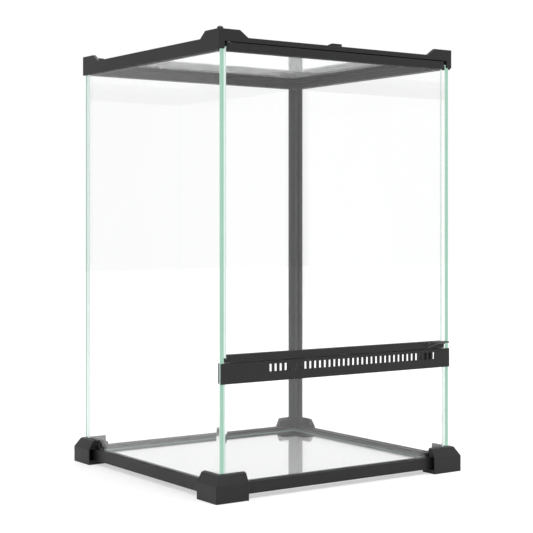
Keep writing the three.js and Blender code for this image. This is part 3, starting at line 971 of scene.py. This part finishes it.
def round_pull_lip(rail):
    """Rounds the rising lower edge of the pull's lip by itself, in the pale finish that paints a
    highlight along it.
    """
    low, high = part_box("door_bottom_rail")
    select_only(rail)
    bpy.ops.object.mode_set(mode="EDIT")
    bpy.ops.mesh.select_mode(type="EDGE")
    bpy.ops.mesh.select_all(action="DESELECT")
    shape = bmesh.from_edit_mesh(rail.data)
    for edge in shape.edges:
        first, last = (corner.co for corner in edge.verts)
        middle = (first + last) / 2
        forward = middle.y < low[1] + sizes().lip_reach
        under = middle.z < high[2] - sizes().lip_depth
        lengthwise = abs(last.x - first.x) > abs(last.z - first.z)
        if forward and under and lengthwise and edge.calc_face_angle(0.0) > LIP_ANGLE:
            edge.select_set(True)
    bmesh.update_edit_mesh(rail.data)
    # The rounding takes the pale finish, a painted highlight along the lip.
    bpy.ops.mesh.bevel(
        offset=sizes().lip_round, segments=LIP_STEPS, profile=0.5, clamp_overlap=False,
        material=PAINTED_HIGHLIGHT_SLOT,
    )
    bpy.ops.object.mode_set(mode="OBJECT")


def lower_rail_top(rail):
    """Lowers the rail's top with its lip, and draws the pull's hollow down in step."""
    low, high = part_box("door_bottom_rail")
    face = low[1] + sizes().pull_reach + sizes().moulding_round
    band_low = high[2] - sizes().lip_thickness
    for corner in rail.data.vertices:
        place = corner.co
        if place.z > band_low:
            place.z -= sizes().rail_drop
        elif place.y < face:
            place.z -= sizes().rail_drop * (place.z - low[2]) / (band_low - low[2])


class TERRARIUM_OT_door(PieceOperator, bpy.types.Operator):
    """Glazes the door and softens its rails and pull"""

    bl_idname = "terrarium.door"
    bl_label = "Door"

    def execute(self, context):
        glaze("door_pane", "door_glass", kept("polished glass edge", make_door_edge))
        soften_node(
            "door_top_rail", "door_top_moulding", plastic(),
            sizes().slim_round, SHORTEST_ON_SLIM_MOULDING,
        )
        rail = copy_of_node("door_bottom_rail", "door_bottom_moulding")
        rail.data.materials.append(plastic())
        # The second slot is the painted highlight along the pull's lip.
        rail.data.materials.append(kept("rubbed plastic", make_painted_highlight_plastic))
        round_pull_lip(rail)
        lower_rail_top(rail)
        round_long_edges(rail, sizes().small_round, SHORTEST_ON_SLIM_MOULDING)
        hand_over(rail, "door_bottom_rail")
        return {"FINISHED"}


class TERRARIUM_OT_fittings(PieceOperator, bpy.types.Operator):
    """Softens the hinge pins, the catch plate and the magnet"""

    bl_idname = "terrarium.fittings"
    bl_label = "Hinge pins and door catch"

    def execute(self, context):
        steel = kept("plain steel", make_steel)
        ferrite = kept("ferrite", make_ferrite)
        width = sizes().fitting_round
        soften_node("hinge_pin_top", "upper_hinge_pin", steel, width, SHORTEST_ON_PIN)
        soften_node("hinge_pin_bottom", "lower_hinge_pin", steel, width, SHORTEST_ON_PIN)
        soften_node(
            "catch_plate", "door_catch_plate", steel, sizes().plate_round, SHORTEST_ON_PLATE,
        )
        soften_node("catch_magnet", "door_catch_magnet", ferrite, width, SHORTEST_ON_MAGNET)
        return {"FINISHED"}


def combine(tree, operation, first, second):
    """Joins two values, each an output or a plain number, by one Math node."""
    node = tree.nodes.new("ShaderNodeMath")
    node.operation = operation
    for socket_in, value in zip(node.inputs, (first, second)):
        if isinstance(value, float):
            socket_in.default_value = value
        else:
            tree.links.new(value, socket_in)
    return node.outputs["Value"]


def add_floor():
    """A pale floor that glows a little where it is seen, more so far from the lamps."""
    bpy.ops.object.select_all(action="DESELECT")
    bpy.ops.mesh.primitive_grid_add(
        x_subdivisions=FLOOR_CELLS, y_subdivisions=FLOOR_CELLS, size=studio().floor_side,
    )
    floor = bpy.context.object
    floor.name = "floor"
    material, tree, shader = new_finish("pale floor")
    shade = studio().floor_shade
    shader.inputs["Base Color"].default_value = (shade, shade, shade, 1.0)
    shader.inputs["Roughness"].default_value = 0.7
    shader.inputs["Specular IOR Level"].default_value = 0.2
    place = tree.nodes.new("ShaderNodeTexCoord")
    distance = tree.nodes.new("ShaderNodeVectorMath")
    distance.operation = "LENGTH"
    tree.links.new(place.outputs["Object"], distance.inputs[0])
    glow = map_value(
        tree, distance.outputs["Value"], studio().glow_near, studio().glow_far,
        at_low=0.6, at_high=3.2,
    )
    path = tree.nodes.new("ShaderNodeLightPath")
    seen = combine(tree, "MAXIMUM", path.outputs["Is Camera Ray"], path.outputs["Is Glossy Ray"])
    seen = combine(tree, "MAXIMUM", seen, path.outputs["Is Transmission Ray"])
    shader.inputs["Emission Color"].default_value = WHITE
    tree.links.new(combine(tree, "MULTIPLY", seen, glow), shader.inputs["Emission Strength"])
    floor.data.materials.append(material)


def add_world():
    """A white sky that is full where it is seen, and lights less, least from the left."""
    world = bpy.data.worlds.new("pale sky")
    bpy.context.scene.world = world
    world.use_nodes = True
    tree = world.node_tree
    sky = tree.nodes["Background"]
    sky.inputs["Color"].default_value = WHITE
    way = tree.nodes.new("ShaderNodeTexCoord")
    parts = tree.nodes.new("ShaderNodeSeparateXYZ")
    tree.links.new(way.outputs["Generated"], parts.inputs["Vector"])
    side = map_value(
        tree, parts.outputs["X"], studio().dim_side, 1.0, at_low=-0.7, at_high=0.2,
    )
    path = tree.nodes.new("ShaderNodeLightPath")
    mirrored = map_value(
        tree, path.outputs["Is Glossy Ray"], studio().sky, 1.0, at_low=0.0, at_high=1.0,
    )
    light = combine(tree, "MULTIPLY", side, mirrored)
    seen = combine(
        tree, "MAXIMUM", path.outputs["Is Camera Ray"], path.outputs["Is Transmission Ray"],
    )
    tree.links.new(combine(tree, "MAXIMUM", seen, light), sky.inputs["Strength"])


def add_lamp(name, place, target, side, watts):
    """A square area lamp aimed at a target."""
    lamp = bpy.data.lights.new(name, "AREA")
    lamp.shape = "SQUARE"
    lamp.size = side
    lamp.energy = watts
    holder = bpy.data.objects.new(name, lamp)
    bpy.context.scene.collection.objects.link(holder)
    holder.location = place
    aim = Vector(target) - Vector(place)
    holder.rotation_euler = aim.to_track_quat("-Z", "Y").to_euler()


class TERRARIUM_OT_stage(bpy.types.Operator):
    """Adds the floor, the sky, the lamps and the camera"""

    bl_idname = "terrarium.stage"
    bl_label = "Stage"
    bl_options = {"REGISTER", "UNDO"}

    def execute(self, context):
        scene = context.scene
        scene.view_settings.view_transform = "Standard"
        add_floor()
        add_world()
        middle = (0.0, 0.0, 0.24)
        add_lamp("key", place=(-1.7, -1.2, 1.9), target=middle, side=1.3, watts=9.0)
        add_lamp("overhead", place=(0.2, -0.1, 2.2), target=middle, side=1.6, watts=52.0)
        camera = bpy.data.cameras.new("photo view")
        camera.sensor_width = SENSOR_WIDTH
        camera.lens = studio().lens
        camera.shift_x, camera.shift_y = studio().lens_shift
        camera.clip_start = NEAR_CLIP
        camera.clip_end = FAR_CLIP
        holder = bpy.data.objects.new("photo view", camera)
        scene.collection.objects.link(holder)
        holder.location = studio().camera_place
        holder.rotation_euler = (math.pi / 2, 0.0, -studio().camera_yaw)
        scene.camera = holder
        return {"FINISHED"}


PIECES = (
    TERRARIUM_OT_bottom_rails,
    TERRARIUM_OT_feet,
    TERRARIUM_OT_panes,
    TERRARIUM_OT_seams,
    TERRARIUM_OT_vent_strip,
    TERRARIUM_OT_top_frame,
    TERRARIUM_OT_lid,
    TERRARIUM_OT_screen,
    TERRARIUM_OT_catches,
    TERRARIUM_OT_door,
    TERRARIUM_OT_fittings,
    TERRARIUM_OT_stage,
)


class TERRARIUM_PT_panel(bpy.types.Panel):
    """Lists the terrarium's settings and its operators"""

    bl_label = "Reptile terrarium"
    bl_idname = "TERRARIUM_PT_panel"
    bl_space_type = "VIEW_3D"
    bl_region_type = "UI"
    bl_category = "Terrarium"

    def draw(self, context):
        layout = self.layout
        scene = context.scene
        groups = (scene.terrarium_sizes, scene.terrarium_finishes, scene.terrarium_studio)
        for group in groups:
            box = layout.box()
            for name in group.__annotations__:
                box.prop(group, name)
        for piece in PIECES:
            layout.operator(piece.bl_idname)


CLASSES = (TerrariumSizes, TerrariumFinishes, TerrariumStudio, *PIECES, TERRARIUM_PT_panel)


def register():
    """Registers the classes and gives each scene its settings."""
    for item in CLASSES:
        bpy.utils.register_class(item)
    bpy.types.Scene.terrarium_sizes = bpy.props.PointerProperty(type=TerrariumSizes)
    bpy.types.Scene.terrarium_finishes = bpy.props.PointerProperty(type=TerrariumFinishes)
    bpy.types.Scene.terrarium_studio = bpy.props.PointerProperty(type=TerrariumStudio)


def unregister():
    """Takes the settings and the classes away again."""
    del bpy.types.Scene.terrarium_studio
    del bpy.types.Scene.terrarium_finishes
    del bpy.types.Scene.terrarium_sizes
    for item in reversed(CLASSES):
        bpy.utils.unregister_class(item)


def main():
    """Builds every piece and the stage."""
    register()
    bpy.ops.terrarium.bottom_rails()
    bpy.ops.terrarium.feet()
    bpy.ops.terrarium.panes()
    bpy.ops.terrarium.seams()
    bpy.ops.terrarium.vent_strip()
    bpy.ops.terrarium.top_frame()
    bpy.ops.terrarium.lid()
    bpy.ops.terrarium.screen()
    bpy.ops.terrarium.catches()
    bpy.ops.terrarium.door()
    bpy.ops.terrarium.fittings()
    bpy.ops.terrarium.stage()


if __name__ == "__main__":
    main()
